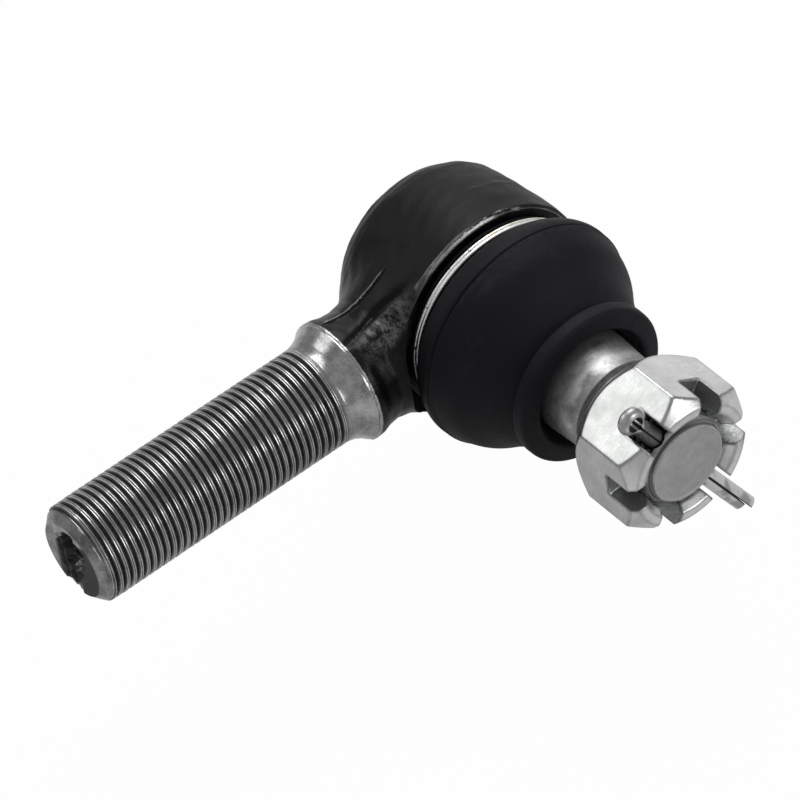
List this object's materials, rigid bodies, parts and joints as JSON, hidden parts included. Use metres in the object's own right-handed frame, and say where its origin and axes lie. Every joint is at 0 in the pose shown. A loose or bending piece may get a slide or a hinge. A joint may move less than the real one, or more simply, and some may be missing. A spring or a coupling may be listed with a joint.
{
  "type": "tie rod end",
  "caption": "Outer steering tie rod end: forged ball joint with a male-threaded shank, tapered stud, rubber dust boot, slotted nut and cotter pin. The stud swings and spins; the pin pulls out.",
  "frame": {"origin": "centre of the flat outer face of the cover at the back of the ball joint, on the stud's axis", "axes": "-Y along the stud towards its threaded end, -X along the threaded shank towards its end, +Z square to both, up as the part lies on its side with the nut and boot level. The ball centre is at (0, -20.5, 0) mm. Metres, right-handed"},
  "size_m": [0.1151, 0.0815, 0.0476],
  "materials": {
    "painted_forging": "semi-gloss black paint over a forging, thin and bright on its edges",
    "bearing_polymer": "moulded acetal",
    "cover_steel": "pressed or drawn dark steel",
    "black_rubber": "matt moulded chloroprene",
    "bright_steel": "bright wire",
    "stud_steel": "ground cone, cut or rolled thread",
    "zinc_plate": "bright zinc plate"
  },
  "bodies": {
    "housing": {"housing": "painted_forging", "bearing_seat": "bearing_polymer", "closure_cover": "cover_steel", "dust_boot": "black_rubber", "boot_retaining_ring": "bright_steel"},
    "seat": {"pressure_seat": "bearing_polymer", "seat_spring": "cover_steel"},
    "boot_lip": {"boot_lip_insert": "cover_steel"},
    "stud": {"ball_stud": "stud_steel", "castle_nut": "zinc_plate"},
    "pin": {"cotter_pin": "zinc_plate"}
  },
  "joints": [
    {"name": "stud_heading", "type": "hinge", "parent": "housing", "child": "seat", "pos_m": [0, -0.0205, 0], "axis": [0, -1, 0], "range_deg": [-90, 90], "deforming": ["dust_boot"]},
    {"name": "stud_tilt", "type": "hinge", "parent": "seat", "child": "boot_lip", "pos_m": [0, -0.0205, 0], "axis": [1, 0, 0], "range_deg": [-20, 20], "deforming": ["dust_boot"]},
    {"name": "stud_spin", "type": "hinge", "parent": "boot_lip", "child": "stud", "pos_m": [0, -0.0205, 0], "axis": [0, -1, 0], "continuous": true},
    {"name": "cotter_pin_pull", "type": "slide", "parent": "stud", "child": "pin", "axis": [-0.5, 0, 0.866], "range_m": [0, 0.045]}
  ]
}
